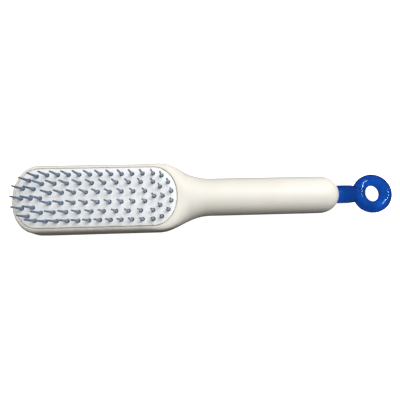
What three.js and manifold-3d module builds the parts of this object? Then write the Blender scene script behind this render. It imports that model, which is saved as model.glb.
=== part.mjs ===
// A self-cleaning hair brush. Turning the ring at the end of the handle by half a turn draws the
// pins down through the perforated face, so that hair lifts off, and turning it back pushes them out.
// Millimetres. +Z points out of the brushing face and +X along the handle to the ring.
// Build frame: x = 0 at the middle of the straight pin rows, y = 0 on the centre plane,
// z = 0 at the flat back of the head. The finished group is shifted along X to centre it.
import * as THREE from 'three';
import { mergeVertices } from 'three/addons/utils/BufferGeometryUtils.js';
import Module from 'manifold-3d';

const wasm = await Module();
wasm.setup();

// ---------------------------------------------------------------- driving dimensions

const FACE_Z = 24; // top of the perforated face
const FACE_THICK = 2;
const WALL = 2; // wall of the two housing shells
const PARTING_Z = 12; // the shells meet here, on the handle's axis
const PARTING_GAP = 0.2;
const AXIS_Z = 12; // turning axis of the ring knob

// Housing outline
const HEAD_CENTRE_X = -38; // the rounded end of the head starts here
const HEAD_END_LENGTH = 15.3;
const HEAD_HALF_WIDTH = 21.8;
const HEAD_MID_Z = 11.8; // height of the widest line of the head
const HEAD_ABOVE = 12; // half-heights of the head's section
const HEAD_BELOW = 12.2;
const HEAD_LEAN = 0.127; // share of the width that the sides lose towards the face
const HEAD_LEAN_POWER = 2.5; // above 1, they lose most of it near the face
const HEAD_SQUARE = 20; // superellipse exponents: of the head's section, and of its end in plan
const HEAD_PLAN_SQUARE = 2.1;
const NECK_START_X = 33; // the width narrows from here
const NECK_END_X = 66.8; // to here
const NECK_POWER = 1.16; // above 1, the narrowing is quicker at its start
const ROUNDING_START_X = 22; // the section turns from square to round from here
const ROUNDING_END_X = 53; // to here
const HANDLE_RADIUS = 12.15;
const DOME_START_X = 138.4;
const DOME_LENGTH = 11.9;

// Perforated face
const FACE_HALF_WIDTH = 17.6;
const FACE_RIGHT_X = 31; // straight sides end here, and the rounded ends begin
const FACE_LEFT_X = -36;
const FACE_RIGHT_LENGTH = 14.3;
const FACE_LEFT_LENGTH = 13.3;
const FACE_PLAN_SQUARE = 2.1;
const PIN_HOLE_RADIUS = 1.2;

// Pins
const PIN_RADIUS = 0.95;
const PIN_TIP_RADIUS = 0.5;
const PIN_TOP_Z = 34.9;
const CARRIER_LOW_Z = 19.9;
const CARRIER_HIGH_Z = 21.6;
const CARRIER_INSET = 1.8; // from the face's outline to the carrier's
const TRAVEL = 11.2; // of the carrier down, and of the slider along X

// Slider: two cheeks with sloping slots, one on each side of the carrier
const CHEEK_INNER_Y = 16.1;
const CHEEK_OUTER_Y = 17.3;
const CHEEK_LEFT_X = -41.2;
const CHEEK_RIGHT_X = 22;
const CHEEK_LOW_Z = 3.4;
const CHEEK_HIGH_Z = 19.8;
const SLOT_RADIUS = 1.5;
const FOLLOWER_RADIUS = 1.2;
const FOLLOWER_Z = 17.3;
const FOLLOWER_XS = [-26, 18];
const LINK_X = 50; // pin between the slider and the push rod
const NUT_LINK_X = 82; // pin between the push rod and the drive nut

// Screw drive
const SPINDLE_RADIUS = 4;
const GROOVE_FLOOR_RADIUS = 2.5;
const GROOVE_ANGLE = 62; // degrees that each groove takes of the spindle's section
const GROOVE_START_X = 105.4;
const GROOVE_END_X = 119.8;
const NUT_FOLLOWER_X = 107;
const NUT_RADIUS = 6.5;
const NUT_BORE_RADIUS = 4.3;
const COLLAR_X = 131;
const PIN_GAP = 0.15; // between a pin and its hole

// Ring knob
const STEM_RADIUS = 6;
const RING_CENTRE_X = 174.6;
const RING_RADIUS = 9;
const RING_TUBE_RADIUS = 3.85;

// Self-tapping screws, driven from the back
const SCREW_RADIUS = 1.2;
const SCREW_LENGTH = 12;
const SCREW_HEAD_RADIUS = 2.4;
const SCREW_HEAD_HEIGHT = 1.6;
const SCREW_SEAT_Z = 5.6;
const SCREW_PLACES = [[47.5, 11.5], [47.5, -11.5], [124.6, 7.2], [124.6, -7.2]];
const BOSS_RADIUS = 2.8;

const OVERALL_LEFT_X = HEAD_CENTRE_X - HEAD_END_LENGTH;
const OVERALL_RIGHT_X = RING_CENTRE_X + RING_RADIUS + RING_TUBE_RADIUS;

// ---------------------------------------------------------------- solids

function solid(geometry) {
  const bare = geometry.index ? geometry.toNonIndexed() : geometry.clone();
  bare.deleteAttribute('normal');
  bare.deleteAttribute('uv');
  const merged = mergeVertices(bare, 1e-4);
  const corners = merged.index.array;
  const kept = [];
  for (let i = 0; i < corners.length; i += 3) {
    const [a, b, c] = [corners[i], corners[i + 1], corners[i + 2]];
    if (a !== b && b !== c && c !== a) kept.push(a, b, c);
  }
  return new wasm.Manifold(new wasm.Mesh({
    numProp: 3,
    vertProperties: merged.attributes.position.array,
    triVerts: new Uint32Array(kept),
  }));
}

function box(x0, x1, y0, y1, z0, z1) {
  const geometry = new THREE.BoxGeometry(x1 - x0, y1 - y0, z1 - z0);
  geometry.translate((x0 + x1) / 2, (y0 + y1) / 2, (z0 + z1) / 2);
  return solid(geometry);
}

// A turned solid about an axis along X, through (y, z). The profile is a list of [x, radius].
function turnedAlongX(profile, y, z, sides = 24) {
  const points = profile.map(([x, radius]) => new THREE.Vector2(radius, -x));
  const geometry = new THREE.LatheGeometry(points.reverse(), sides);
  geometry.rotateZ(Math.PI / 2);
  geometry.translate(0, y, z);
  return solid(geometry);
}

// The same about an axis along Z, through (x, y). The profile is a list of [z, radius].
function turnedAlongZ(profile, x, y, sides = 16) {
  const points = profile.map(([z, radius]) => new THREE.Vector2(radius, z));
  const geometry = new THREE.LatheGeometry(points, sides);
  geometry.rotateX(Math.PI / 2);
  geometry.translate(x, y, 0);
  return solid(geometry);
}

function rodAlongX(x0, x1, radius, y = 0, z = AXIS_Z, sides = 24) {
  return turnedAlongX([[x0, 0], [x0, radius], [x1, radius], [x1, 0]], y, z, sides);
}

function rodAlongZ(z0, z1, radius, x, y, sides = 16) {
  return turnedAlongZ([[z0, 0], [z0, radius], [z1, radius], [z1, 0]], x, y, sides);
}

function rodAlongY(y0, y1, radius, x, z, sides = 12) {
  const geometry = new THREE.CylinderGeometry(radius, radius, y1 - y0, sides);
  geometry.translate(x, (y0 + y1) / 2, z);
  return solid(geometry);
}

// A closed skin over rings of equally many points, each going round X by the right hand.
// A bent first ring, whose sides mirror each other, is closed by a strip from side to side.
function skin(rings, bentFirst = false) {
  const positions = [];
  const triangle = (a, b, c) => positions.push(...a, ...b, ...c);
  const centre = (ring) => [0, 1, 2].map((k) => ring.reduce((sum, p) => sum + p[k], 0) / ring.length);
  const count = rings[0].length;
  for (let i = 0; i + 1 < rings.length; i++) {
    for (let j = 0; j < count; j++) {
      const next = (j + 1) % count;
      triangle(rings[i][j], rings[i + 1][next], rings[i + 1][j]);
      triangle(rings[i][j], rings[i][next], rings[i + 1][next]);
    }
  }
  const [first, last] = [rings[0], rings[rings.length - 1]];
  const [start, end] = [centre(first), centre(last)];
  for (let j = 0; j < count; j++) {
    const next = (j + 1) % count;
    if (!bentFirst) triangle(start, first[next], first[j]);
    triangle(end, last[j], last[next]);
  }
  for (let j = -count / 4; bentFirst && j < count / 4; j++) {
    const strip = [j, j + 1, count / 2 - j - 1, count / 2 - j];
    const [a, b, c, d] = strip.map((k) => first[(k + count) % count]);
    triangle(b, a, d);
    triangle(b, d, c);
  }
  const geometry = new THREE.BufferGeometry();
  geometry.setAttribute('position', new THREE.Float32BufferAttribute(positions, 3));
  return solid(geometry);
}

function join(parts) {
  return parts.reduce((whole, part) => whole.add(part));
}

// ---------------------------------------------------------------- the housing's outer and inner skins

const rooted = (value, exponent) => Math.sign(value) * Math.abs(value) ** (2 / exponent);
const clamp = (value, low, high) => Math.min(high, Math.max(low, value));

function smooth(x, start, end) {
  const t = clamp((x - start) / (end - start), 0, 1);
  return t * t * (3 - 2 * t);
}

// Half-width of the housing in plan, right of the head's rounded end.
function halfWidth(x) {
  const t = clamp((x - NECK_START_X) / (NECK_END_X - NECK_START_X), 0, 1);
  const narrowing = ((1 + Math.cos(Math.PI * t)) / 2) ** NECK_POWER;
  return HANDLE_RADIUS + (HEAD_HALF_WIDTH - HANDLE_RADIUS) * narrowing;
}

const SECTION_POINTS = 28;

// One ring of the housing's skin, moved in by the wall thickness on the inner skin.
function sectionRing(x, wall, floorZ, ceilingZ, endTurn) {
  const round = smooth(x, ROUNDING_START_X, ROUNDING_END_X);
  const exponent = HEAD_SQUARE + (2 - HEAD_SQUARE) * round;
  const above = HEAD_ABOVE + (HANDLE_RADIUS - HEAD_ABOVE) * round - wall * round;
  const below = HEAD_BELOW + (HANDLE_RADIUS - HEAD_BELOW) * round - wall * round;
  const midZ = HEAD_MID_Z + (AXIS_Z - HEAD_MID_Z) * round;
  const intoDome = clamp((x - DOME_START_X) / DOME_LENGTH, 0, 1);
  const shrink = Math.sqrt(1 - intoDome ** 2);
  const ring = [];
  for (let i = 0; i < SECTION_POINTS; i++) {
    const angle = (i / SECTION_POINTS) * 2 * Math.PI;
    const rise = rooted(Math.sin(angle), exponent);
    const inward = rooted(Math.cos(angle), exponent);
    const z = clamp(midZ + rise * (rise > 0 ? above : below) * shrink, floorZ, ceilingZ);
    const lean = 1 - HEAD_LEAN * (1 - round) * Math.max(0, rise) ** HEAD_LEAN_POWER;
    const endways = Math.abs(inward) * lean * rooted(Math.sin(endTurn), HEAD_PLAN_SQUARE);
    const sideways = inward * lean * rooted(Math.cos(endTurn), HEAD_PLAN_SQUARE);
    const reach = (HEAD_END_LENGTH - wall) * endways;
    const y = (halfWidth(x) - wall) * shrink * sideways;
    ring.push([x - reach, y, z]);
  }
  return ring;
}

function housingSkin(wall, floorZ, ceilingZ, endX) {
  const endTurns = [88, 75, 60, 45, 30, 15]; // degrees, the first leaving a narrow strip at the tip
  const rings = endTurns.map((degrees) => (
    sectionRing(HEAD_CENTRE_X, wall, floorZ, ceilingZ, THREE.MathUtils.degToRad(degrees))
  ));
  const neckStep = 5;
  const stations = [HEAD_CENTRE_X, ROUNDING_START_X];
  for (let x = ROUNDING_START_X + neckStep; x < NECK_END_X; x += neckStep) stations.push(x);
  stations.push(NECK_END_X);
  const domeSteps = 6;
  for (let i = 0; i <= domeSteps; i++) {
    const x = DOME_START_X + DOME_LENGTH * Math.sin((i / domeSteps) * (Math.PI / 2));
    if (x < endX) stations.push(x);
  }
  stations.push(endX);
  for (const x of stations) rings.push(sectionRing(x, wall, floorZ, ceilingZ, 0));
  return skin(rings, true);
}

const LOW = -10;
const HIGH = 50;
const LEDGE_LOW_Z = 20.3;
const BUSHING_START_X = 137.3;
const BUSHING_END_X = 144;
const BUSHING_RADIUS = 9;
const STEM_BORE_RADIUS = STEM_RADIUS + 0.35;

const outerSkin = housingSkin(0, 0, HIGH, DOME_START_X + DOME_LENGTH);
const innerSkin = housingSkin(WALL, WALL, LEDGE_LOW_Z, BUSHING_START_X - 0.5);
const bushingSeat = rodAlongX(BUSHING_START_X - 1, BUSHING_END_X + 0.2, BUSHING_RADIUS + 0.2);
const stemBore = rodAlongX(BUSHING_END_X, DOME_START_X + DOME_LENGTH + 1, STEM_BORE_RADIUS);
const hollow = join([innerSkin, bushingSeat, stemBore]);

// ---------------------------------------------------------------- outline of the face and the carrier

function faceOutline(inset, steps = 14) {
  const shape = new THREE.Shape();
  const half = FACE_HALF_WIDTH - inset;
  const ends = [
    { centre: FACE_RIGHT_X, length: FACE_RIGHT_LENGTH - inset, start: -Math.PI / 2 },
    { centre: FACE_LEFT_X, length: FACE_LEFT_LENGTH - inset, start: Math.PI / 2 },
  ];
  const points = [];
  for (const { centre, length, start } of ends) {
    for (let i = 0; i <= steps; i++) {
      const angle = start + (i / steps) * Math.PI;
      const x = centre + length * rooted(Math.cos(angle), FACE_PLAN_SQUARE);
      const y = half * rooted(Math.sin(angle), FACE_PLAN_SQUARE);
      points.push(new THREE.Vector2(x, y));
    }
  }
  shape.setFromPoints(points);
  return shape;
}

function slab(shape, z0, z1) {
  const geometry = new THREE.ExtrudeGeometry(shape, { depth: z1 - z0, bevelEnabled: false });
  geometry.translate(0, 0, z0);
  return solid(geometry);
}

function addHole(shape, x, y, radius, sides) {
  const hole = new THREE.Path();
  const points = [];
  for (let i = 0; i < sides; i++) {
    const angle = -((i + 0.5) / sides) * 2 * Math.PI;
    points.push(new THREE.Vector2(x + radius * Math.cos(angle), y + radius * Math.sin(angle)));
  }
  hole.setFromPoints(points);
  shape.holes.push(hole);
}

// ---------------------------------------------------------------- pin layout: three loops of pins

// A loop has two straight rows and a few pins round each end, given as [x, half-spacing in y].
const PIN_LOOPS = [
  { y: 13.75, count: 11, pitch: 6.25, middle: 0,
    ends: [[36.4, 12.4], [40.3, 8.3], [42.1, 2.9],
      [-37.3, 13.1], [-41.7, 10.6], [-45.1, 5.85], [-45.9, 0]] },
  { y: 8.55, count: 10, pitch: 7.27, middle: -1.5,
    ends: [[35.4, 5.6], [36.9, 0], [-38.9, 5.5], [-40.4, 0]] },
  { y: 3.05, count: 9, pitch: 7, middle: -1.55,
    ends: [[31.9, 0], [-35.1, 0]] },
];

function pinPlaces() {
  const places = [];
  const both = (x, y) => {
    places.push([x, y]);
    if (y > 0) places.push([x, -y]);
  };
  for (const loop of PIN_LOOPS) {
    for (let i = 0; i < loop.count; i++) {
      both(loop.middle + (i - (loop.count - 1) / 2) * loop.pitch, loop.y);
    }
    for (const [x, y] of loop.ends) both(x, y);
  }
  return places;
}

const PIN_SIDES = 6;
const GUIDE_XS = [-19.1, 15.95];
const GUIDE_RADIUS = 1.25;
const GUIDE_HOLE_RADIUS = 1.6;

// ---------------------------------------------------------------- face plate

function makeFacePlate() {
  const shape = faceOutline(0);
  for (const [x, y] of pinPlaces()) addHole(shape, x, y, PIN_HOLE_RADIUS, PIN_SIDES);
  return slab(shape, FACE_Z - FACE_THICK, FACE_Z);
}

// ---------------------------------------------------------------- bristle carrier: plate, pins and legs

function makeBristleCarrier() {
  const shape = faceOutline(CARRIER_INSET, 10);
  for (const x of GUIDE_XS) addHole(shape, x, 0, GUIDE_HOLE_RADIUS, PIN_SIDES);
  const taperStart = FACE_Z + 0.5;
  const rootZ = CARRIER_HIGH_Z - 0.5;
  const profile = [
    [rootZ, 0], [rootZ, PIN_RADIUS], [taperStart, PIN_RADIUS],
    [PIN_TOP_Z - 0.4, PIN_TIP_RADIUS], [PIN_TOP_Z, 0],
  ];
  const pins = pinPlaces().map(([x, y]) => turnedAlongZ(profile, x, y, PIN_SIDES));
  const legs = [];
  const legOuterY = 15.6;
  const legThick = 2;
  const legHalfLength = 1.9;
  for (const x of FOLLOWER_XS) {
    for (const side of [-1, 1]) {
      const [y0, y1] = [side * (legOuterY - legThick), side * legOuterY].sort((a, b) => a - b);
      const lowZ = FOLLOWER_Z - legHalfLength;
      legs.push(box(x - legHalfLength, x + legHalfLength, y0, y1, lowZ, CARRIER_LOW_Z + 0.5));
      const [p0, p1] = [side * (legOuterY - 0.5), side * CHEEK_OUTER_Y].sort((a, b) => a - b);
      legs.push(rodAlongY(p0, p1, FOLLOWER_RADIUS, x, FOLLOWER_Z));
    }
  }
  return join([slab(shape, CARRIER_LOW_Z, CARRIER_HIGH_Z), ...legs, ...pins]);
}

// ---------------------------------------------------------------- slider frame

// A cheek is drawn in x and z, with its sloping slots, then stood up along Y.
function makeCheek(y0, y1) {
  const shape = new THREE.Shape();
  shape.moveTo(CHEEK_LEFT_X, CHEEK_LOW_Z);
  shape.lineTo(CHEEK_RIGHT_X, CHEEK_LOW_Z);
  shape.lineTo(CHEEK_RIGHT_X, CHEEK_HIGH_Z);
  shape.lineTo(CHEEK_LEFT_X, CHEEK_HIGH_Z);
  shape.closePath();
  const slotSteps = 6;
  for (const x of FOLLOWER_XS) {
    const slot = new THREE.Path();
    const points = [];
    for (let i = 0; i <= slotSteps; i++) {
      const angle = -Math.PI / 4 + (i / slotSteps) * Math.PI;
      const [dx, dz] = [SLOT_RADIUS * Math.cos(angle), SLOT_RADIUS * Math.sin(angle)];
      points.push(new THREE.Vector2(x + dx, FOLLOWER_Z + dz));
    }
    for (let i = 0; i <= slotSteps; i++) {
      const angle = (3 * Math.PI) / 4 + (i / slotSteps) * Math.PI;
      const [dx, dz] = [SLOT_RADIUS * Math.cos(angle), SLOT_RADIUS * Math.sin(angle)];
      points.push(new THREE.Vector2(x - TRAVEL + dx, FOLLOWER_Z - TRAVEL + dz));
    }
    slot.setFromPoints(points);
    shape.holes.push(slot);
  }
  const geometry = new THREE.ExtrudeGeometry(shape, { depth: y1 - y0, bevelEnabled: false });
  geometry.rotateX(Math.PI / 2);
  geometry.translate(0, y1, 0);
  return solid(geometry);
}

const BAR_HIGH_Z = 5;
const BAR_SPANS = [[CHEEK_LEFT_X, -39.5], [-8, -4], [18.8, CHEEK_RIGHT_X]];
const EAR_INNER_Y = 1.9;
const EAR_OUTER_Y = 4.4;
const LINK_PIN_RADIUS = 1;

function makeSliderFrame() {
  const parts = [makeCheek(CHEEK_INNER_Y, CHEEK_OUTER_Y), makeCheek(-CHEEK_OUTER_Y, -CHEEK_INNER_Y)];
  for (const [x0, x1] of BAR_SPANS) {
    parts.push(box(x0, x1, -CHEEK_INNER_Y - 0.5, CHEEK_INNER_Y + 0.5, CHEEK_LOW_Z, BAR_HIGH_Z));
  }
  const tongueHalf = 5;
  const earHalf = 2.2;
  parts.push(box(CHEEK_RIGHT_X - 1, LINK_X + earHalf, -tongueHalf, tongueHalf, CHEEK_LOW_Z, BAR_HIGH_Z));
  for (const side of [-1, 1]) {
    const [y0, y1] = [side * EAR_INNER_Y, side * EAR_OUTER_Y].sort((a, b) => a - b);
    parts.push(box(LINK_X - earHalf, LINK_X + earHalf, y0, y1, BAR_HIGH_Z - 1, AXIS_Z + 3));
  }
  const pinHole = rodAlongY(-EAR_OUTER_Y - 1, EAR_OUTER_Y + 1, LINK_PIN_RADIUS + PIN_GAP, LINK_X, AXIS_Z);
  return join(parts).subtract(pinHole);
}

// ---------------------------------------------------------------- push rod, its pins and the drive nut

function makePushRod() {
  const eyeHalf = 1.5;
  const eyeReach = 2.2;
  const neckReach = 4;
  const parts = [
    rodAlongX(LINK_X + neckReach - 1, NUT_LINK_X - neckReach + 1, 2.5, 0, AXIS_Z, 16),
    box(LINK_X - eyeReach, LINK_X + neckReach, -eyeHalf, eyeHalf, AXIS_Z - 2.2, AXIS_Z + 2.2),
    box(NUT_LINK_X - neckReach, NUT_LINK_X + eyeReach, -eyeHalf, eyeHalf, AXIS_Z - 2.2, AXIS_Z + 2.2),
  ];
  const radius = LINK_PIN_RADIUS + PIN_GAP;
  const holes = [LINK_X, NUT_LINK_X].map((x) => rodAlongY(-3, 3, radius, x, AXIS_Z));
  return join(parts).subtract(join(holes));
}

function makeLinkPin(x) {
  return rodAlongY(-EAR_OUTER_Y, EAR_OUTER_Y, LINK_PIN_RADIUS, x, AXIS_Z);
}

const NUT_START_X = 84.6;
const NUT_END_X = 110;
const KEY_HALF = 1.2;

function makeDriveNut() {
  const earHalf = 2.4;
  const parts = [rodAlongX(NUT_START_X, NUT_END_X, NUT_RADIUS)];
  for (const side of [-1, 1]) {
    const [y0, y1] = [side * EAR_INNER_Y, side * EAR_OUTER_Y].sort((a, b) => a - b);
    parts.push(box(NUT_LINK_X - earHalf, NUT_START_X + 1, y0, y1, AXIS_Z - earHalf, AXIS_Z + earHalf));
  }
  const keyLowZ = 2.6;
  parts.push(box(92, 107, -KEY_HALF, KEY_HALF, keyLowZ, AXIS_Z - NUT_BORE_RADIUS - 1));
  const cuts = [
    rodAlongX(NUT_START_X + 2, NUT_END_X + 1, NUT_BORE_RADIUS),
    rodAlongY(-EAR_OUTER_Y - 1, EAR_OUTER_Y + 1, LINK_PIN_RADIUS + PIN_GAP, NUT_LINK_X, AXIS_Z),
    rodAlongY(-NUT_RADIUS - 1, NUT_RADIUS + 1, LINK_PIN_RADIUS + PIN_GAP, NUT_FOLLOWER_X, AXIS_Z),
  ];
  return join(parts).subtract(join(cuts));
}

function makeNutFollower(side) {
  const [y0, y1] = [side * 2.85, side * 6.2].sort((a, b) => a - b);
  return rodAlongY(y0, y1, LINK_PIN_RADIUS, NUT_FOLLOWER_X, AXIS_Z);
}

// ---------------------------------------------------------------- spindle with two helical grooves

// The grooved length is one notched section, turned as it moves along X: half a turn in one travel.
function makeGroovedLength() {
  const rings = [];
  const steps = 12;
  const pointsPerLand = 5;
  const pointsPerGroove = 4;
  const grooveHalf = THREE.MathUtils.degToRad(GROOVE_ANGLE / 2);
  for (let i = 0; i <= steps; i++) {
    const x = GROOVE_START_X + (i / steps) * (GROOVE_END_X - GROOVE_START_X);
    const turn = -((x - NUT_FOLLOWER_X) * Math.PI) / TRAVEL;
    const ring = [];
    const point = (angle, radius) => {
      ring.push([x, radius * Math.cos(angle + turn), AXIS_Z + radius * Math.sin(angle + turn)]);
    };
    for (const groove of [0, Math.PI]) {
      for (let j = 0; j <= pointsPerGroove; j++) {
        point(groove - grooveHalf + (j / pointsPerGroove) * 2 * grooveHalf, GROOVE_FLOOR_RADIUS);
      }
      const land = Math.PI - 2 * grooveHalf;
      for (let j = 0; j <= pointsPerLand; j++) {
        point(groove + grooveHalf + (j / pointsPerLand) * land, SPINDLE_RADIUS);
      }
    }
    rings.push(ring);
  }
  return skin(rings);
}

const SPINDLE_START_X = 98;
const TENON_START_X = 135;
const TENON_END_X = 148.5;
const TENON_RADIUS = 3.5;
const COLLAR_HALF = 1;
const COLLAR_RADIUS = 7.5;
const KNOB_PIN_X = 147;
const KNOB_PIN_HALF_LENGTH = 5.6;

function makeSpindle() {
  const core = rodAlongX(SPINDLE_START_X, GROOVE_END_X + 1, GROOVE_FLOOR_RADIUS - 0.1);
  const nose = rodAlongX(SPINDLE_START_X, GROOVE_START_X, SPINDLE_RADIUS);
  const tail = turnedAlongX([
    [GROOVE_END_X, 0], [GROOVE_END_X, SPINDLE_RADIUS],
    [COLLAR_X - COLLAR_HALF, SPINDLE_RADIUS], [COLLAR_X - COLLAR_HALF, COLLAR_RADIUS],
    [COLLAR_X + COLLAR_HALF, COLLAR_RADIUS], [COLLAR_X + COLLAR_HALF, SPINDLE_RADIUS],
    [TENON_START_X, SPINDLE_RADIUS], [TENON_START_X, TENON_RADIUS],
    [TENON_END_X, TENON_RADIUS], [TENON_END_X, 0],
  ], 0, AXIS_Z);
  const pinHole = rodAlongZ(0, 2 * AXIS_Z, LINK_PIN_RADIUS + PIN_GAP, KNOB_PIN_X, 0, 12);
  return join([makeGroovedLength(), core, nose, tail]).subtract(pinHole);
}

function makeKnobPin() {
  const [low, high] = [AXIS_Z - KNOB_PIN_HALF_LENGTH, AXIS_Z + KNOB_PIN_HALF_LENGTH];
  return rodAlongZ(low, high, LINK_PIN_RADIUS, KNOB_PIN_X, 0, 12);
}

// ---------------------------------------------------------------- ring knob, bushing and friction ring

const STEM_START_X = 136.2;
const STEM_GROOVE_X = 140.7;
const STEM_FLATTENS_X = 152.5;
const STEM_END_X = 165.5; // inside the ring's tube
const STEM_END_HALF_WIDTH = 5.2;
const STEM_END_HALF_HEIGHT = 3.2;
const FRICTION_TUBE_RADIUS = 0.7;
const FRICTION_RING_RADIUS = 5.4;

// The stem flattens towards the ring, to the thickness of the ring's tube.
function makeStemEnd() {
  const [steps, sides] = [6, 24];
  const length = STEM_END_X - STEM_FLATTENS_X + 0.5;
  const rings = [];
  for (let i = 0; i <= steps; i++) {
    const share = smooth(i / steps, 0, 1);
    const halfWide = STEM_RADIUS + (STEM_END_HALF_WIDTH - STEM_RADIUS) * share ** 3;
    const halfHigh = STEM_RADIUS + (STEM_END_HALF_HEIGHT - STEM_RADIUS) * share;
    const ring = [];
    for (let j = 0; j < sides; j++) {
      const angle = (j / sides) * 2 * Math.PI;
      const x = STEM_FLATTENS_X - 0.5 + (i / steps) * length;
      ring.push([x, halfWide * Math.cos(angle), AXIS_Z + halfHigh * Math.sin(angle)]);
    }
    rings.push(ring);
  }
  return skin(rings);
}

function makeRingKnob() {
  const ring = new THREE.TorusGeometry(RING_RADIUS, RING_TUBE_RADIUS, 12, 36);
  ring.translate(RING_CENTRE_X, 0, AXIS_Z);
  const grooveHalf = 1;
  const stem = turnedAlongX([
    [STEM_START_X, 0], [STEM_START_X, STEM_RADIUS],
    [STEM_GROOVE_X - grooveHalf, STEM_RADIUS], [STEM_GROOVE_X - grooveHalf, FRICTION_RING_RADIUS - 0.9],
    [STEM_GROOVE_X + grooveHalf, FRICTION_RING_RADIUS - 0.9], [STEM_GROOVE_X + grooveHalf, STEM_RADIUS],
    [STEM_FLATTENS_X, STEM_RADIUS], [STEM_FLATTENS_X, 0],
  ], 0, AXIS_Z);
  const tenonBore = rodAlongX(STEM_START_X - 1, TENON_END_X + 0.4, TENON_RADIUS + 0.3);
  const pinHole = rodAlongZ(0, 2 * AXIS_Z, LINK_PIN_RADIUS + PIN_GAP, KNOB_PIN_X, 0, 12);
  return solid(ring).add(stem).add(makeStemEnd()).subtract(tenonBore).subtract(pinHole);
}

function makeStemBushing() {
  const bore = STEM_RADIUS + 0.3;
  return turnedAlongX([
    [BUSHING_START_X, bore], [BUSHING_START_X, BUSHING_RADIUS],
    [BUSHING_END_X, BUSHING_RADIUS], [BUSHING_END_X, bore], [BUSHING_START_X, bore],
  ], 0, AXIS_Z);
}

function makeFrictionRing() {
  const geometry = new THREE.TorusGeometry(FRICTION_RING_RADIUS, FRICTION_TUBE_RADIUS, 6, 16);
  geometry.rotateY(Math.PI / 2);
  geometry.translate(STEM_GROOVE_X, 0, AXIS_Z);
  return solid(geometry);
}

// ---------------------------------------------------------------- housing shells

const SEAT_GAP = 0.45; // round the edge of the face plate, seen as a dark line
const SEAT_Z = FACE_Z - FACE_THICK - 0.1;
const CARRIER_GAP = 0.4;
const BULKHEAD_SPANS = [[127, 129.7], [132.3, 134.7]];

// The round top of the neck, behind the face, is hollowed by a taller second cavity.
const neckHollow = housingSkin(WALL, WALL, HIGH, BUSHING_START_X - 0.5)
  .intersect(box(52, 140, -30, 30, 0, HIGH));

function shellFeatures() {
  const features = [];
  for (const [x, y] of SCREW_PLACES) features.push(rodAlongZ(LOW, HIGH, BOSS_RADIUS, x, y, 12));
  for (const [x0, x1] of BULKHEAD_SPANS) {
    const disc = rodAlongX(x0, x1, HANDLE_RADIUS);
    features.push(disc.subtract(rodAlongX(x0 - 1, x1 + 1, SPINDLE_RADIUS + 0.35)));
  }
  return join(features).intersect(outerSkin);
}

// A lug on the front shell's rounded end, which hooks behind the rear shell's end wall.
function hookLug() {
  const [outerX, innerX, halfWide] = [-50.8, -49.4, 3.4];
  return box(outerX, innerX, -halfWide, halfWide, 8, 16)
    .add(box(outerX - 1, innerX, -halfWide, halfWide, PARTING_Z + 0.4, 16));
}

function shellBlank() {
  return outerSkin.subtract(hollow).subtract(neckHollow).add(shellFeatures());
}

function makeFrontShell() {
  const above = box(-80, 170, -40, 40, PARTING_Z + PARTING_GAP / 2, HIGH);
  const seat = slab(faceOutline(-SEAT_GAP, 10), SEAT_Z, HIGH);
  const carrierWay = slab(faceOutline(CARRIER_INSET - CARRIER_GAP, 10), LEDGE_LOW_Z - 1, HIGH);
  const pilots = SCREW_PLACES.map(([x, y]) => (
    rodAlongZ(0, SCREW_SEAT_Z + SCREW_LENGTH + 0.5, SCREW_RADIUS + 0.1, x, y, 12)
  ));
  const blank = shellBlank().intersect(above).add(hookLug());
  return blank.subtract(seat).subtract(carrierWay).subtract(join(pilots));
}

function makeRearShell() {
  const below = box(-80, 170, -40, 40, LOW, PARTING_Z - PARTING_GAP / 2);
  const ribs = [];
  const runnerY = 9;
  const railY = 6;
  for (const side of [-1, 1]) {
    const rib = (x0, x1, y, thick, highZ) => {
      const [y0, y1] = [side * y - thick / 2, side * y + thick / 2];
      ribs.push(box(x0, x1, y0, y1, WALL / 2, highZ));
    };
    rib(-44, 34, runnerY, 1, CHEEK_LOW_Z - 0.2); // the slider's bars run on these
    rib(38, 62, railY, 1.2, BAR_HIGH_Z); // these keep the slider's tongue straight
    rib(90, 120, KEY_HALF + 1.1, 1.4, 5); // the drive nut's key runs between these
  }
  for (const x of GUIDE_XS) ribs.push(rodAlongZ(WALL / 2, BAR_HIGH_Z, 2.5, x, 0));
  const cuts = [];
  for (const [x, y] of SCREW_PLACES) {
    cuts.push(rodAlongZ(LOW, SCREW_SEAT_Z, SCREW_HEAD_RADIUS + 0.3, x, y));
    cuts.push(rodAlongZ(0, PARTING_Z + 1, SCREW_RADIUS + 0.3, x, y, 12));
  }
  for (const x of GUIDE_XS) cuts.push(rodAlongZ(WALL, HIGH, GUIDE_RADIUS + 0.1, x, 0));
  const blank = shellBlank().intersect(below).add(join(ribs).intersect(outerSkin));
  return blank.subtract(join(cuts));
}

function makeGuidePost(x) {
  return rodAlongZ(WALL + 0.1, FACE_Z - FACE_THICK - 0.3, GUIDE_RADIUS, x, 0);
}

// A pan-head screw with a cross recess, its head below the back of the housing.
function makeScrew(x, y) {
  const headLow = SCREW_SEAT_Z - SCREW_HEAD_HEIGHT;
  const seatZ = SCREW_SEAT_Z - 0.05;
  const body = turnedAlongZ([
    [headLow, 0], [headLow, SCREW_HEAD_RADIUS - 0.6], [headLow + 0.5, SCREW_HEAD_RADIUS],
    [seatZ, SCREW_HEAD_RADIUS], [seatZ, SCREW_RADIUS],
    [seatZ + SCREW_LENGTH - 1.5, SCREW_RADIUS], [seatZ + SCREW_LENGTH, 0],
  ], x, y, 12);
  const [long, thin, deep] = [1.3, 0.3, 0.9];
  const cross = box(x - long, x + long, y - thin, y + thin, headLow - 1, headLow + deep)
    .add(box(x - thin, x + thin, y - long, y + long, headLow - 1, headLow + deep));
  return body.subtract(cross);
}

// ---------------------------------------------------------------- materials and assembly

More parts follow.
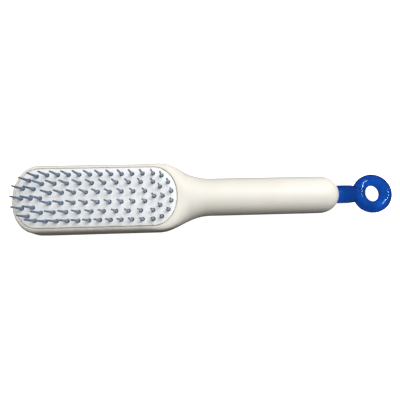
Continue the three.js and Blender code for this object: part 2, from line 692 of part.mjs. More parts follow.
const finish = (color, roughness, metalness = 0) => ({ color, roughness, metalness });
const CREAM_PLASTIC = finish(0xefebe2, 0.28);
const FACE_PLASTIC = finish(0xeef2f6, 0.25);
const PIN_PLASTIC = finish(0x6d84a6, 0.3);
const BLUE_PLASTIC = finish(0x0b46c4, 0.12);
const NYLON = finish(0xd9d7cf, 0.5);
const ACETAL = finish(0x4a4c50, 0.45);
const STEEL = finish(0xb8babd, 0.3, 1);
const RUBBER = finish(0x1c1c1e, 0.8);

const brush = new THREE.Group();
brush.name = 'self_cleaning_brush';
brush.position.x = -(OVERALL_LEFT_X + OVERALL_RIGHT_X) / 2;

function place(name, body, look) {
  const { vertProperties, triVerts } = body.getMesh();
  const indexed = new THREE.BufferGeometry();
  indexed.setAttribute('position', new THREE.BufferAttribute(vertProperties, 3));
  indexed.setIndex(new THREE.BufferAttribute(triVerts, 1));
  const geometry = indexed.toNonIndexed();
  geometry.computeVertexNormals();
  const mesh = new THREE.Mesh(geometry, new THREE.MeshStandardMaterial(look));
  mesh.name = name;
  brush.add(mesh);
}

place('front_shell', makeFrontShell(), CREAM_PLASTIC);
place('rear_shell', makeRearShell(), CREAM_PLASTIC);
place('face_plate', makeFacePlate(), FACE_PLASTIC);
place('bristle_carrier', makeBristleCarrier(), PIN_PLASTIC);
place('slider_frame', makeSliderFrame(), NYLON);
place('push_rod', makePushRod(), NYLON);
place('link_pin', makeLinkPin(LINK_X), STEEL);
place('nut_link_pin', makeLinkPin(NUT_LINK_X), STEEL);
place('drive_nut', makeDriveNut(), ACETAL);
place('nut_follower_1', makeNutFollower(1), STEEL);
place('nut_follower_2', makeNutFollower(-1), STEEL);
place('spindle', makeSpindle(), ACETAL);
place('knob_pin', makeKnobPin(), STEEL);
place('ring_knob', makeRingKnob(), BLUE_PLASTIC);
place('stem_bushing', makeStemBushing(), NYLON);
place('friction_ring', makeFrictionRing(), RUBBER);
GUIDE_XS.forEach((x, i) => place(`guide_post_${i + 1}`, makeGuidePost(x), STEEL));
SCREW_PLACES.forEach(([x, y], i) => place(`shell_screw_${i + 1}`, makeScrew(x, y), STEEL));

export default brush;
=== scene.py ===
"""Looks of the self-cleaning brush: smooth shells, face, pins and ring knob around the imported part.

Sizes are millimetres in the part's own build frame: x = 0 at the middle of the straight pin rows,
y = 0 on the centre plane, z = 0 at the flat back. new_object() brings them into the row frame.
"""

import math

import bmesh
import bpy
from mathutils import Matrix, Vector


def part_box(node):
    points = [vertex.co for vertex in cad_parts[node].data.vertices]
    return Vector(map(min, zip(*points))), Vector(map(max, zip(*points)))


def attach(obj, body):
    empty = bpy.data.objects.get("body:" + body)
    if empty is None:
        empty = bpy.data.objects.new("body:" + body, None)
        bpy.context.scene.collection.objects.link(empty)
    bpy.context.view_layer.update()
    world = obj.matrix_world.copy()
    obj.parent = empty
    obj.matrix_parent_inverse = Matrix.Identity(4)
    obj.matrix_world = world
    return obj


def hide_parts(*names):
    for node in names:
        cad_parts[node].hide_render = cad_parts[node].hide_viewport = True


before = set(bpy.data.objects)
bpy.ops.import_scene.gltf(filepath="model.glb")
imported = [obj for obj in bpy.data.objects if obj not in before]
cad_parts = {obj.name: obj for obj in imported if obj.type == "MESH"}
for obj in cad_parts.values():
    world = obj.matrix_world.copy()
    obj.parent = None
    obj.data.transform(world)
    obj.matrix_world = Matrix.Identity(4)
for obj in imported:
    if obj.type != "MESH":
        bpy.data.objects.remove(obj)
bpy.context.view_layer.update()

# ------------------------------------------------------------------ driving dimensions

MM = 0.001
FACE_Z = 24
FACE_LOW_Z = 22
AXIS_Z = 12
WALL = 2
PARTING_GAP = 0.2

HEAD_CENTRE_X = -38
HEAD_END_LENGTH = 15.3
HEAD_HALF_WIDTH = 21.8
HEAD_MID_Z = 11.8
HEAD_ABOVE = 12
HEAD_BELOW = 12.2
HEAD_LEAN = 0.127
HEAD_LEAN_POWER = 2.5
HEAD_SQUARE = 20
HEAD_PLAN_SQUARE = 2.1
NECK_START_X = 33
NECK_END_X = 66.8
NECK_POWER = 1.16
ROUNDING_START_X = 22
ROUNDING_END_X = 53
HANDLE_RADIUS = 12.15
DOME_START_X = 138.4
DOME_LENGTH = 11.9
DOME_CUT_DEGREES = 80  # the mouth cuts the dome off here, on its quarter ellipse
DOME_END_X = DOME_START_X + DOME_LENGTH * math.sin(math.radians(DOME_CUT_DEGREES))
HIGH = 40  # above everything
FAR_X = 160  # beyond the housing

FACE_HALF_WIDTH = 17.6
FACE_EDGE_RADIUS = 0.4
FACE_PLAN_SQUARE = 2.1
FACE_ENDS = [(31, 14.3, -90), (-36, 13.3, 90)]  # centre x, length and starting angle of each end
SEAT_GAP = 0.45
SEAT_Z = 21.9
LEDGE_LOW_Z = 20.3
CARRIER_INSET = 1.8
CARRIER_GAP = 0.4
CARRIER_LOW_Z = 19.9
CARRIER_HIGH_Z = 21.6
CARRIER_BEVEL = 0.25

PIN_RADIUS = 0.95
PIN_TIP_RADIUS = 0.5
PIN_TOP_Z = 34.9
HOLE_RADIUS = 1.2
FOLLOWER_XS = [-26, 18]
FOLLOWER_Z = 17.3
FOLLOWER_RADIUS = 1.2
LEG_INNER_Y = 13.6
LEG_OUTER_Y = 15.6
CHEEK_OUTER_Y = 17.3
LEG_HALF_LENGTH = 1.9
GUIDE_XS = [-19.1, 15.95]
GUIDE_HOLE_RADIUS = 1.6

STEM_RADIUS = 6
STEM_START_X = 136.2
STEM_GROOVE_X = 140.7
STEM_GROOVE_RADIUS = 4.5
BUSHING_START_X = 137.3
BUSHING_END_X = 144
BUSHING_RADIUS = 9
BUSHING_GAP = 0.2
MOUTH_GAP = 0.35  # round the stem, where it leaves the dome
TENON_END_X = 148.5
TENON_RADIUS = 3.5
KNOB_PIN_X = 147
KNOB_PIN_RADIUS = 1
STEM_FLATTENS_X = 152.5
STEM_END_X = 165.5
STEM_END_HALF_WIDTH = 5.2
STEM_END_HALF_HEIGHT = 3.2
RING_CENTRE_X = 174.6
RING_RADIUS = 9
RING_TUBE_RADIUS = 3.85

SCREW_PLACES = [(47.5, 11.5), (47.5, -11.5), (124.6, 7.2), (124.6, -7.2)]
SCREW_RADIUS = 1.2
SCREW_LENGTH = 12
SCREW_HEAD_RADIUS = 2.4
SCREW_SEAT_Z = 5.6
SCREW_HEAD_HEIGHT = 1.6
SCREW_THREAD_PITCH = 0.9
SCREW_WELL_GAP = 0.3

# How finely the shapes are made
SECTION_POINTS = 64
OUTLINE_STEPS = 40
FINE_SIDES = 64
RING_STATIONS = 96
TUBE_POINTS = 40
KNOB_VOXEL = 0.3
SMOOTH_DEGREES = 32

# A loop of pins: two straight rows at y and -y, and pins round each end as (x, half-spacing in y).
PIN_LOOPS = [
    {"y": 13.75, "count": 11, "pitch": 6.25, "middle": 0,
     "ends": [(36.4, 12.4), (40.3, 8.3), (42.1, 2.9),
              (-37.3, 13.1), (-41.7, 10.6), (-45.1, 5.85), (-45.9, 0)]},
    {"y": 8.55, "count": 10, "pitch": 7.27, "middle": -1.5,
     "ends": [(35.4, 5.6), (36.9, 0), (-38.9, 5.5), (-40.4, 0)]},
    {"y": 3.05, "count": 9, "pitch": 7, "middle": -1.55,
     "ends": [(31.9, 0), (-35.1, 0)]},
]

# The row frame is centred on the part, so the ring's far end gives the shift along X.
SHIFT_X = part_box("ring_knob")[1].x / MM - (RING_CENTRE_X + RING_RADIUS + RING_TUBE_RADIUS)
TO_ROW_FRAME = Matrix.Scale(MM, 4) @ Matrix.Translation((SHIFT_X, 0, 0))
KNOB_AXIS = (0, AXIS_Z)


# ------------------------------------------------------------------ mesh helpers

def new_object(name, form):
    """An object from a bmesh in build-frame millimetres, moved into the row frame."""
    bmesh.ops.remove_doubles(form, verts=form.verts, dist=0.0005)
    bmesh.ops.recalc_face_normals(form, faces=form.faces)
    form.transform(TO_ROW_FRAME)
    mesh = bpy.data.meshes.new(name)
    form.to_mesh(mesh)
    form.free()
    item = bpy.data.objects.new(name, mesh)
    bpy.context.scene.collection.objects.link(item)
    return item


def add_band(rings, form):
    """The skin between rings of equally many points, open at both ends. Gives its rows of vertices."""
    rows = [[form.verts.new(point) for point in ring] for ring in rings]
    count = len(rows[0])
    for row, following in zip(rows, rows[1:]):
        for j in range(count):
            k = (j + 1) % count
            form.faces.new((row[j], row[k], following[k], following[j]))
    return rows


def loft(rings, form=None):
    """A closed skin over rings of equally many points, with a flat cap on each end."""
    form = form or bmesh.new()
    rows = add_band(rings, form)
    form.faces.new(reversed(rows[0]))
    form.faces.new(rows[-1])
    return form


def turned(profile, place, axis="Z", sides=32, form=None):
    """A turned solid. The profile is a list of (distance along the axis, radius above 0)."""
    rings = []
    for along, radius in profile:
        ring = []
        for i in range(sides):
            angle = 2 * math.pi * i / sides
            across, up = radius * math.cos(angle), radius * math.sin(angle)
            if axis == "X":
                ring.append((along, place[0] + across, place[1] + up))
            elif axis == "Y":
                ring.append((place[0] + across, along, place[1] + up))
            else:
                ring.append((place[0] + across, place[1] + up, along))
        rings.append(ring)
    return loft(rings, form)


def box_form(low, high, form):
    """A plain box added to a bmesh, for cutters and small inner parts."""
    centre = [(a + b) / 2 for a, b in zip(low, high)]
    size = [b - a for a, b in zip(low, high)]
    place = Matrix.Translation(centre) @ Matrix.Diagonal((*size, 1))
    bmesh.ops.create_cube(form, size=1, matrix=place)


def apply_modifiers(item):
    """Turns an object's modifiers into its mesh."""
    bpy.context.view_layer.update()
    seen = item.evaluated_get(bpy.context.evaluated_depsgraph_get())
    mesh = bpy.data.meshes.new_from_object(seen)
    item.modifiers.clear()
    item.data = mesh


def combine(item, others, operation):
    """Cuts the other objects from item, or joins them to it, and removes them."""
    for other in others:
        modifier = item.modifiers.new(operation.lower(), "BOOLEAN")
        modifier.operation = operation
        modifier.solver = "MANIFOLD"
        modifier.object = other
    apply_modifiers(item)
    for other in others:
        bpy.data.objects.remove(other)


def finish_piece(item, body, material, replaced):
    """Shading, material, and the CAD body and nodes that the piece goes with."""
    for polygon in item.data.polygons:
        polygon.use_smooth = True
    item.data.set_sharp_from_angle(angle=math.radians(SMOOTH_DEGREES))
    item.data.materials.clear()
    item.data.materials.append(material)
    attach(item, body)
    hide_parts(*replaced)


# ------------------------------------------------------------------ materials

def principled(name, settings):
    """A material whose Principled BSDF has these constant inputs."""
    material = bpy.data.materials.new(name)
    material.use_nodes = True
    shader = material.node_tree.nodes["Principled BSDF"]
    for key, value in settings.items():
        shader.inputs[key].default_value = value
    return material, shader


def add_noise(material, scale, detail=3):
    """A noise texture in the piece's own coordinates. The scale is cycles for each metre."""
    nodes, links = material.node_tree.nodes, material.node_tree.links
    place = nodes.new("ShaderNodeTexCoord")
    noise = nodes.new("ShaderNodeTexNoise")
    noise.inputs["Scale"].default_value = scale
    noise.inputs["Detail"].default_value = detail
    links.new(place.outputs["Object"], noise.inputs["Vector"])
    return noise.outputs["Fac"]


def moulded(name, colours, roughness, patch_scale, grain_scale, grain_depth, settings=None):
    """Moulded plastic, or another plain material: patchy colour and gloss, and a fine grain."""
    material, shader = principled(name, settings or {})
    nodes, links = material.node_tree.nodes, material.node_tree.links
    patches = add_noise(material, patch_scale)
    ramp = nodes.new("ShaderNodeValToRGB")
    ramp.color_ramp.elements[0].position = 0.35
    ramp.color_ramp.elements[1].position = 0.65
    for element, colour in zip(ramp.color_ramp.elements, colours):
        element.color = (*colour, 1)
    links.new(patches, ramp.inputs["Fac"])
    links.new(ramp.outputs["Color"], shader.inputs["Base Color"])
    gloss = nodes.new("ShaderNodeMapRange")
    gloss.inputs["To Min"].default_value = roughness[0]
    gloss.inputs["To Max"].default_value = roughness[1]
    links.new(add_noise(material, patch_scale * 4), gloss.inputs["Value"])
    links.new(gloss.outputs["Result"], shader.inputs["Roughness"])
    bump = nodes.new("ShaderNodeBump")
    bump.inputs["Strength"].default_value = 0.35
    bump.inputs["Distance"].default_value = grain_depth * MM
    links.new(add_noise(material, grain_scale, 4), bump.inputs["Height"])
    links.new(bump.outputs["Normal"], shader.inputs["Normal"])
    return material


CREAM = moulded(
    "cream_plastic", [(0.86, 0.83, 0.75), (0.90, 0.875, 0.80)], (0.36, 0.46), 35, 900, 0.02,
    {"Coat Weight": 0.15, "Coat Roughness": 0.3})
# The face's faint blue tint is painted reflection: it stands in for light from the blue pins falling on
# the plate, under its patchy white.
FACE = moulded(
    "face_plastic", [(0.93, 0.95, 0.96), (0.97, 0.98, 0.98)], (0.22, 0.32), 160, 1200, 0.02,
    {"Coat Weight": 0.3, "Coat Roughness": 0.15})
PIN = moulded(
    "pin_plastic", [(0.11, 0.19, 0.31), (0.16, 0.25, 0.38)], (0.22, 0.34), 220, 1500, 0.01,
    {"Coat Weight": 0.3, "Coat Roughness": 0.1})
BLUE = moulded(
    "blue_plastic", [(0.03, 0.21, 0.46), (0.05, 0.31, 0.64)], (0.02, 0.05), 60, 500, 0.005,
    {"Transmission Weight": 0.85, "IOR": 1.5, "Coat Weight": 1.0, "Coat IOR": 1.5,
     "Coat Roughness": 0.02, "Coat Tint": (0.25, 0.45, 0.75, 1)})
NYLON = moulded(
    "white_nylon", [(0.62, 0.61, 0.56), (0.70, 0.69, 0.64)], (0.4, 0.55), 60, 900, 0.02)
ACETAL = moulded(
    "grey_acetal", [(0.06, 0.065, 0.07), (0.09, 0.095, 0.1)], (0.35, 0.5), 60, 900, 0.02)
STEEL = moulded(
    "steel", [(0.52, 0.53, 0.55), (0.62, 0.63, 0.64)], (0.22, 0.34), 250, 2500, 0.01,
    {"Metallic": 1.0})
SCREW_STEEL = moulded(
    "screw_steel", [(0.45, 0.46, 0.47), (0.58, 0.58, 0.57)], (0.28, 0.42), 400, 3000, 0.015,
    {"Metallic": 1.0})
RUBBER = moulded(
    "black_rubber", [(0.012, 0.012, 0.013), (0.022, 0.022, 0.024)], (0.7, 0.85), 90, 1800, 0.03)


# ------------------------------------------------------------------ the housing's skins

def rooted(value, exponent):
    """A sine or cosine bent to a superellipse's exponent, with its sign kept."""
    return math.copysign(abs(value) ** (2 / exponent), value)


def smooth(x, start, end):
    """Rises smoothly from 0 at start to 1 at end."""
    t = min(1, max(0, (x - start) / (end - start)))
    return t * t * (3 - 2 * t)


def half_width(x):
    """Half the housing's width where it is widest, at x."""
    t = min(1, max(0, (x - NECK_START_X) / (NECK_END_X - NECK_START_X)))
    narrowing = ((1 + math.cos(math.pi * t)) / 2) ** NECK_POWER
    return HANDLE_RADIUS + (HEAD_HALF_WIDTH - HANDLE_RADIUS) * narrowing


def section(x, turn, wall=0, low_z=None, high_z=None):
    """One ring of the housing's skin, or of its cavity if there is a wall.

    low_z keeps only what is above it, and high_z what is below. The cavity stops under the ledge
    that the face is seated on.
    """
    rounding = smooth(x, ROUNDING_START_X, ROUNDING_END_X)
    exponent = HEAD_SQUARE + (2 - HEAD_SQUARE) * rounding
    above = HEAD_ABOVE + (HANDLE_RADIUS - HEAD_ABOVE) * rounding - wall * rounding
    below = HEAD_BELOW + (HANDLE_RADIUS - HEAD_BELOW) * rounding - wall * rounding
    mid_z = HEAD_MID_Z + (AXIS_Z - HEAD_MID_Z) * rounding
    shrink = math.sqrt(1 - min(1, max(0, (x - DOME_START_X) / DOME_LENGTH)) ** 2)

    def angle_at(z):
        rise = (z - mid_z) / ((above if z > mid_z else below) * shrink)
        rise = min(1, max(-1, rise))
        return math.asin(math.copysign(abs(rise) ** (exponent / 2), rise))

    if low_z is not None:
        start, end = angle_at(low_z), math.pi - angle_at(low_z)
    elif high_z is not None:
        start, end = math.pi - angle_at(high_z), 2 * math.pi + angle_at(high_z)
    else:
        start, end = 0, 2 * math.pi * (SECTION_POINTS - 1) / SECTION_POINTS
    ceiling_z = LEDGE_LOW_Z if wall and x < ROUNDING_END_X else HIGH
    ring = []
    for i in range(SECTION_POINTS):
        angle = start + (end - start) * i / (SECTION_POINTS - 1)
        rise, inward = rooted(math.sin(angle), exponent), rooted(math.cos(angle), exponent)
        z = mid_z + rise * (above if rise > 0 else below) * shrink
        lean = 1 - HEAD_LEAN * (1 - rounding) * max(0, rise) ** HEAD_LEAN_POWER
        endways = abs(inward) * lean * rooted(math.sin(turn), HEAD_PLAN_SQUARE)
        sideways = inward * lean * rooted(math.cos(turn), HEAD_PLAN_SQUARE)
        y = (half_width(x) - wall) * shrink * sideways
        ring.append((x - (HEAD_END_LENGTH - wall) * endways, y, min(ceiling_z, max(wall, z))))
    return ring


def spread(start, end, step):
    """Evenly spaced values from start, the end left out."""
    count = max(1, round((end - start) / step))
    return [start + (end - start) * i / count for i in range(count)]


def housing_solid(name, end_x, **options):
    """A closed solid of the housing's skin, or of one half of it."""
    tip_degrees = 89.5
    rings = []
    for degrees in reversed(spread(0, tip_degrees, 3) + [tip_degrees]):
        if degrees:
            rings.append(section(HEAD_CENTRE_X, math.radians(degrees), **options))
    stations = spread(HEAD_CENTRE_X, ROUNDING_START_X, 2.5)
    stations += spread(ROUNDING_START_X, NECK_END_X, 1.1)
    stations += spread(NECK_END_X, DOME_START_X, 4)
    for degrees in spread(0, 84, 4):
        stations.append(DOME_START_X + DOME_LENGTH * math.sin(math.radians(degrees)))
    stations = [x for x in stations if x < end_x - 0.2] + [end_x]
    rings += [section(x, 0, **options) for x in stations]
    return closed_by_strip(name, rings)


def closed_by_strip(name, rings):
    """Like loft, but the bent first ring is closed by a strip between its two mirrored sides."""
    form = bmesh.new()
    rows = add_band(rings, form)
    first = rows[0]
    pairs = mirrored_pairs(rings[0])
    for (a, b), (c, d) in zip(pairs, pairs[1:]):
        corners = []
        for index in (a, b, d, c):
            if first[index] not in corners:
                corners.append(first[index])
        if len(corners) > 2:
            form.faces.new(corners)
    form.faces.new(rows[-1])
    return new_object(name, form)


def mirrored_pairs(ring):
    """Indices of the points on the +Y side, each with its mirror, from one end of the side on."""
    count = len(ring)
    open_ring = abs(ring[0][2] - ring[-1][2]) < 1e-6 and ring[0][1] * ring[-1][1] < 0
    if open_ring:
        return [(i, count - 1 - i) for i in range(count // 2)]
    quarter = count // 4
    return [(i % count, (count // 2 - i) % count) for i in range(-quarter, quarter + 1)]


def face_outline(inset):
    """Points of the face's outline, moved in by inset."""
    points = []
    for centre, length, start in FACE_ENDS:
        for i in range(OUTLINE_STEPS + 1):
            angle = math.radians(start + 180 * i / OUTLINE_STEPS)
            x = centre + (length - inset) * rooted(math.cos(angle), FACE_PLAN_SQUARE)
            y = (FACE_HALF_WIDTH - inset) * rooted(math.sin(angle), FACE_PLAN_SQUARE)
            points.append((x, y))
    return points


def outline_solid(levels):
    """A solid over the face's outline. Each level is (inset, z)."""
    return loft([[(x, y, z) for x, y in face_outline(inset)] for inset, z in levels])


def cavity_cutters():
    """What both shells are hollowed by."""
    stop_x = BUSHING_START_X - 0.5
    inner = housing_solid("cut_inner", stop_x, wall=WALL)
    seat_radius = BUSHING_RADIUS + BUSHING_GAP
    seat_profile = [(BUSHING_START_X - 1, seat_radius), (BUSHING_END_X + BUSHING_GAP, seat_radius)]
    seat = new_object("cut_bushing", turned(seat_profile, KNOB_AXIS, "X", FINE_SIDES))
    mouth = STEM_RADIUS + MOUTH_GAP
    bore_profile = [
        (BUSHING_END_X, mouth), (DOME_END_X - 2.2, mouth), (DOME_END_X - 1.1, mouth + 0.15),
        (DOME_END_X - 0.4, mouth + 0.6), (FAR_X, mouth + 3)]
    bore = new_object("cut_bore", turned(bore_profile, KNOB_AXIS, "X", FINE_SIDES))
    return [inner, seat, bore]


def make_front_shell():
    shell = housing_solid("front_shell_skin", DOME_END_X, low_z=AXIS_Z + PARTING_GAP / 2)
    seat_levels = [
        (-SEAT_GAP, SEAT_Z), (-SEAT_GAP, FACE_Z - 0.9), (-SEAT_GAP - 0.05, FACE_Z - 0.7),
        (-SEAT_GAP - 0.2, FACE_Z - 0.5), (-SEAT_GAP - 1.2, HIGH)]
    seat = new_object("cut_seat", outline_solid(seat_levels))
    way_inset = CARRIER_INSET - CARRIER_GAP
    way = new_object("cut_way", outline_solid([(way_inset, LEDGE_LOW_Z - 1), (way_inset, FACE_Z)]))
    combine(shell, [*cavity_cutters(), seat, way], "DIFFERENCE")
    finish_piece(shell, "housing", CREAM, ["front_shell"])


def make_rear_shell():
    shell = housing_solid("rear_shell_skin", DOME_END_X, high_z=AXIS_Z - PARTING_GAP / 2)
    well_radius = SCREW_HEAD_RADIUS + SCREW_WELL_GAP
    wells = bmesh.new()
    for place in SCREW_PLACES:
        turned([(-5, well_radius + 0.3), (0.1, well_radius + 0.3), (0.7, well_radius),
                (SCREW_SEAT_Z, well_radius)], place, form=wells)
    combine(shell, [*cavity_cutters(), new_object("cut_wells", wells)], "DIFFERENCE")
    finish_piece(shell, "housing", CREAM, ["rear_shell"])


# ------------------------------------------------------------------ face, pins and carrier

def pin_places():
    """(x, y) of every pin."""
    places = []
    for loop in PIN_LOOPS:
        middle = (loop["count"] - 1) / 2
        rows = [(loop["middle"] + (i - middle) * loop["pitch"], loop["y"]) for i in range(loop["count"])]
        for x, y in rows + loop["ends"]:
            places += [(x, y), (x, -y)] if y else [(x, y)]
    return places


def make_face_plate():
    edge = FACE_EDGE_RADIUS
    levels = [(0, FACE_LOW_Z), (0, FACE_Z - edge)]
    for degrees in (22.5, 45, 67.5, 90):
        angle = math.radians(degrees)
        levels.append((edge * (1 - math.cos(angle)), FACE_Z - edge * (1 - math.sin(angle))))
    plate = new_object("face_plate_skin", outline_solid(levels))
    holes = bmesh.new()
    profile = [
        (FACE_LOW_Z - 0.5, HOLE_RADIUS), (FACE_Z - 0.35, HOLE_RADIUS),
        (FACE_Z - 0.12, HOLE_RADIUS + 0.08), (FACE_Z + 0.2, HOLE_RADIUS + 0.4)]
    for place in pin_places():
        turned(profile, place, sides=24, form=holes)
    combine(plate, [new_object("cut_holes", holes)], "DIFFERENCE")
    finish_piece(plate, "housing", FACE, ["face_plate"])


def pin_profile():
    """From the root in the carrier, a gentle taper to a rounded tip."""
    taper_start = FACE_Z + 0.4
    tip_start = PIN_TOP_Z - PIN_TIP_RADIUS
    profile = [(CARRIER_HIGH_Z - 0.4, PIN_RADIUS), (taper_start, PIN_RADIUS)]
    steps = 6
    for i in range(1, steps + 1):
        share = i / steps
        radius = PIN_RADIUS + (PIN_TIP_RADIUS - PIN_RADIUS) * share ** 0.8
        profile.append((taper_start + (tip_start - taper_start) * share, radius))
    for degrees in (25, 50, 70, 85):
        angle = math.radians(degrees)
        profile.append((tip_start + PIN_TIP_RADIUS * math.sin(angle), PIN_TIP_RADIUS * math.cos(angle)))
    return profile


def make_bristles():
    carrier = new_object("bristle_carrier_skin", outline_solid([
        (CARRIER_INSET + CARRIER_BEVEL, CARRIER_LOW_Z), (CARRIER_INSET, CARRIER_LOW_Z + CARRIER_BEVEL),
        (CARRIER_INSET, CARRIER_HIGH_Z - CARRIER_BEVEL),
        (CARRIER_INSET + CARRIER_BEVEL, CARRIER_HIGH_Z)]))
    guides = bmesh.new()
    for x in GUIDE_XS:
        turned([(CARRIER_LOW_Z - 1, GUIDE_HOLE_RADIUS), (CARRIER_HIGH_Z + 1, GUIDE_HOLE_RADIUS)],
               (x, 0), form=guides)
    combine(carrier, [new_object("cut_guides", guides)], "DIFFERENCE")
    added = bmesh.new()
    for place in pin_places():
        turned(pin_profile(), place, sides=20, form=added)
    half = LEG_HALF_LENGTH
    for x in FOLLOWER_XS:
        for side in (-1, 1):
            y0, y1 = sorted((side * LEG_INNER_Y, side * LEG_OUTER_Y))
            box_form((x - half, y0, FOLLOWER_Z - half), (x + half, y1, CARRIER_LOW_Z + 0.3), added)
            p0, p1 = sorted((side * (LEG_OUTER_Y - 0.5), side * CHEEK_OUTER_Y))
            turned([(p0, FOLLOWER_RADIUS), (p1, FOLLOWER_RADIUS)], (x, FOLLOWER_Z), "Y", form=added)
    pins = new_object("added_pins", added)
    whole = bmesh.new()
    whole.from_mesh(carrier.data)
    whole.from_mesh(pins.data)
    whole.to_mesh(carrier.data)
    whole.free()
    bpy.data.objects.remove(pins)
    finish_piece(carrier, "bristles", PIN, ["bristle_carrier"])


# ------------------------------------------------------------------ ring knob

def stem_rings():
    """The stem's sections: round to STEM_FLATTENS_X, then flattening to the ring's thickness."""
    stations = [STEM_START_X] + spread(STEM_FLATTENS_X, STEM_END_X, 0.5) + [STEM_END_X]
    rings = []
    for x in stations:
        share = smooth(x, STEM_FLATTENS_X, STEM_END_X)
        half_wide = STEM_RADIUS + (STEM_END_HALF_WIDTH - STEM_RADIUS) * share ** 3
        half_high = STEM_RADIUS + (STEM_END_HALF_HEIGHT - STEM_RADIUS) * share
        ring = []
        for i in range(FINE_SIDES):
            angle = 2 * math.pi * i / FINE_SIDES
            ring.append((x, half_wide * math.cos(angle), AXIS_Z + half_high * math.sin(angle)))
        rings.append(ring)
    return rings


def hanging_ring():
    """The ring's form. Its last circle lies on its first, and new_object() joins the two."""
    circles = []
    for i in range(RING_STATIONS):
        angle = 2 * math.pi * i / RING_STATIONS
        circle = []
        for j in range(TUBE_POINTS):
            tube = 2 * math.pi * j / TUBE_POINTS
            reach = RING_RADIUS + RING_TUBE_RADIUS * math.cos(tube)
            circle.append((RING_CENTRE_X + reach * math.cos(angle), reach * math.sin(angle),
                           AXIS_Z + RING_TUBE_RADIUS * math.sin(tube)))
        circles.append(circle)
    form = bmesh.new()
    add_band(circles + circles[:1], form)
    return form


def make_ring_knob():
    knob = new_object("ring_knob_skin", hanging_ring())
    combine(knob, [new_object("added_stem", loft(stem_rings()))], "UNION")
    remesh = knob.modifiers.new("remesh", "REMESH")
    remesh.mode = "VOXEL"
    remesh.voxel_size = KNOB_VOXEL * MM
    relax = knob.modifiers.new("relax", "SMOOTH")
    relax.factor = 0.5
    relax.iterations = 10
    apply_modifiers(knob)
    groove_low, groove_high = STEM_GROOVE_X - 1, STEM_GROOVE_X + 1
    groove = new_object("cut_groove", turned(
        [(groove_low, STEM_RADIUS + 1), (groove_high, STEM_RADIUS + 1)],
        KNOB_AXIS, "X", FINE_SIDES))
    core = new_object("core", turned(
        [(groove_low - 1, STEM_GROOVE_RADIUS), (groove_high + 1, STEM_GROOVE_RADIUS)],
        KNOB_AXIS, "X", FINE_SIDES))
    combine(groove, [core], "DIFFERENCE")
    bore = new_object("cut_tenon", turned(
        [(STEM_START_X - 1, TENON_RADIUS + 0.3), (TENON_END_X + 0.4, TENON_RADIUS + 0.3)],
        KNOB_AXIS, "X", 48))
    pin = new_object("cut_pin", turned(
        [(0, KNOB_PIN_RADIUS + 0.15), (2 * AXIS_Z, KNOB_PIN_RADIUS + 0.15)], (KNOB_PIN_X, 0)))
    combine(knob, [groove, bore, pin], "DIFFERENCE")
    finish_piece(knob, "knob", BLUE, ["ring_knob"])


# ------------------------------------------------------------------ screws

def make_screws():
    head_low = SCREW_SEAT_Z - SCREW_HEAD_HEIGHT
    seat_z = SCREW_SEAT_Z - 0.05
    long, thin, deep = 1.3, 0.3, 0.9  # the cross recess: half-length, half-width and depth
    profile = [
        (head_low, 1.2), (head_low + 0.08, 1.7), (head_low + 0.25, 2.05),
        (head_low + 0.5, 2.28), (head_low + 0.85, SCREW_HEAD_RADIUS), (seat_z, SCREW_HEAD_RADIUS)]
    z = seat_z + 0.01
    while z < seat_z + SCREW_LENGTH - 1.6:
        profile += [(z, SCREW_RADIUS - 0.25), (z + SCREW_THREAD_PITCH / 2, SCREW_RADIUS)]
        z += SCREW_THREAD_PITCH
    profile += [(seat_z + SCREW_LENGTH - 0.6, 0.4), (seat_z + SCREW_LENGTH, 0.05)]
    for number, (x, y) in enumerate(SCREW_PLACES, 1):
        screw = new_object(f"shell_screw_{number}_skin", turned(profile, (x, y)))
        cross = bmesh.new()
        box_form((x - long, y - thin, head_low - 1), (x + long, y + thin, head_low + deep), cross)
        bar = bmesh.new()
        box_form((x - thin, y - long, head_low - 1), (x + thin, y + long, head_low + deep), bar)
        combine(screw, [new_object("cut_cross", cross), new_object("cut_bar", bar)], "DIFFERENCE")
        finish_piece(screw, "housing", SCREW_STEEL, [f"shell_screw_{number}"])


def paint_cad_nodes():
    """The inner parts keep their CAD shapes and get these materials."""
    looks = {
        "slider_frame": NYLON, "push_rod": NYLON, "stem_bushing": NYLON,
        "drive_nut": ACETAL, "spindle": ACETAL, "friction_ring": RUBBER,
    }
    for name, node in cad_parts.items():
        node.data.materials.clear()
        node.data.materials.append(looks.get(name, STEEL))


make_front_shell()
make_rear_shell()
make_face_plate()
make_bristles()
make_ring_knob()
make_screws()
paint_cad_nodes()

# ------------------------------------------------------------------ floor, lights and camera

def glowing_white(name):
    material, _ = principled(name, {
        "Base Color": (0.9, 0.9, 0.9, 1), "Roughness": 0.9,
        "Emission Color": (1, 1, 1, 1), "Emission Strength": 0.95})
    return material


def add_stage(name, form):
    """A floor or backdrop that the camera sees, and that throws no light back on the object."""
    mesh = bpy.data.meshes.new(name)
    form.to_mesh(mesh)
    form.free()
    item = bpy.data.objects.new(name, mesh)
    bpy.context.scene.collection.objects.link(item)
    item.data.materials.append(glowing_white(name + "_white"))
    item.visible_diffuse = False
    item.visible_glossy = False
    item.visible_shadow = False
    return item


FLOOR_RADIUS_M = 4
BACKDROP_RADIUS_M = 4.2

floor_form = bmesh.new()
bmesh.ops.create_circle(floor_form, cap_ends=True, segments=96, radius=FLOOR_RADIUS_M)
add_stage("floor", floor_form)
backdrop_form = bmesh.new()
bmesh.ops.create_uvsphere(backdrop_form, u_segments=48, v_segments=24, radius=BACKDROP_RADIUS_M)
backdrop = add_stage("backdrop", backdrop_form)
backdrop.visible_transmission = False


def to_row(point):
    return TO_ROW_FRAME @ Vector(point)


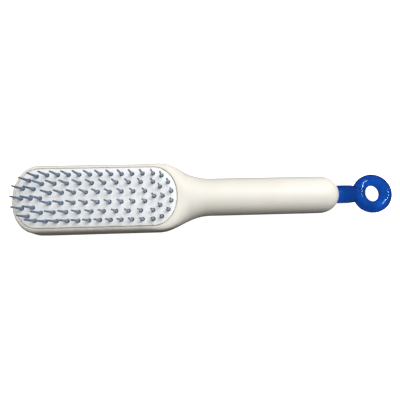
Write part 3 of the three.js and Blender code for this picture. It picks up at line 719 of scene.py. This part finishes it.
def add_softbox(name, target, direction, distance, size, watts, mirrored=False):
    """A rectangular area light in a direction from a point of the brush, mirrored in it or not.

    The target is in build-frame millimetres, and the distance and size are metres.
    """
    light = bpy.data.lights.new(name, "AREA")
    light.shape = "RECTANGLE"
    light.size, light.size_y = size
    light.energy = watts
    item = bpy.data.objects.new(name, light)
    toward = Vector(direction).normalized()
    item.location = to_row(target) + toward * distance
    item.rotation_euler = toward.to_track_quat("Z", "Y").to_euler()
    item.visible_glossy = mirrored
    bpy.context.scene.collection.objects.link(item)


add_softbox("overhead", (70, 0, 12), (0.2, 0.1, 0.97), 0.9, (0.6, 0.6), 3.85)
add_softbox("window", (70, 0, 12), (0.3, 0.5, 0.81), 0.9, (0.7, 0.3), 4.4)
add_softbox("long_strip", (100, 0, 12), (0.3, 0.47, 0.83), 0.9, (0.5, 0.06), 0.9, mirrored=True)
add_softbox("short_strip", (174.6, 0, 12), (0.35, 0.23, 0.91), 0.6, (0.22, 0.012), 0.4, mirrored=True)

world = bpy.data.worlds.new("studio")
world.use_nodes = True
world.node_tree.nodes["Background"].inputs["Color"].default_value = (1, 0.93, 0.88, 1)
world.node_tree.nodes["Background"].inputs["Strength"].default_value = 0.06
bpy.context.scene.world = world
bpy.context.scene.view_settings.view_transform = "Standard"

CAMERA_PLACE = (51.04, -23.71, 194.55)
CAMERA_TARGET = (59.33, -3.27, FACE_Z)
CAMERA_ROLL_DEGREES = -1.313  # of the picture's horizontal against the brush's length
CAMERA_FOCAL_SHARE = 0.7125  # of the sensor's width

camera_data = bpy.data.cameras.new("camera")
camera_data.lens = CAMERA_FOCAL_SHARE * camera_data.sensor_width
camera_data.clip_start = 0.01
camera_data.shift_y = 0.0005
camera = bpy.data.objects.new("camera", camera_data)
forward = (to_row(CAMERA_TARGET) - to_row(CAMERA_PLACE)).normalized()
roll = math.radians(CAMERA_ROLL_DEGREES)
level = Vector((math.cos(roll), math.sin(roll), 0))
right = (level - forward * level.dot(forward)).normalized()
up = right.cross(forward)
axes = Matrix((right, up, -forward)).transposed().to_4x4()
camera.matrix_world = Matrix.Translation(to_row(CAMERA_PLACE)) @ axes
bpy.context.scene.collection.objects.link(camera)
bpy.context.scene.camera = camera
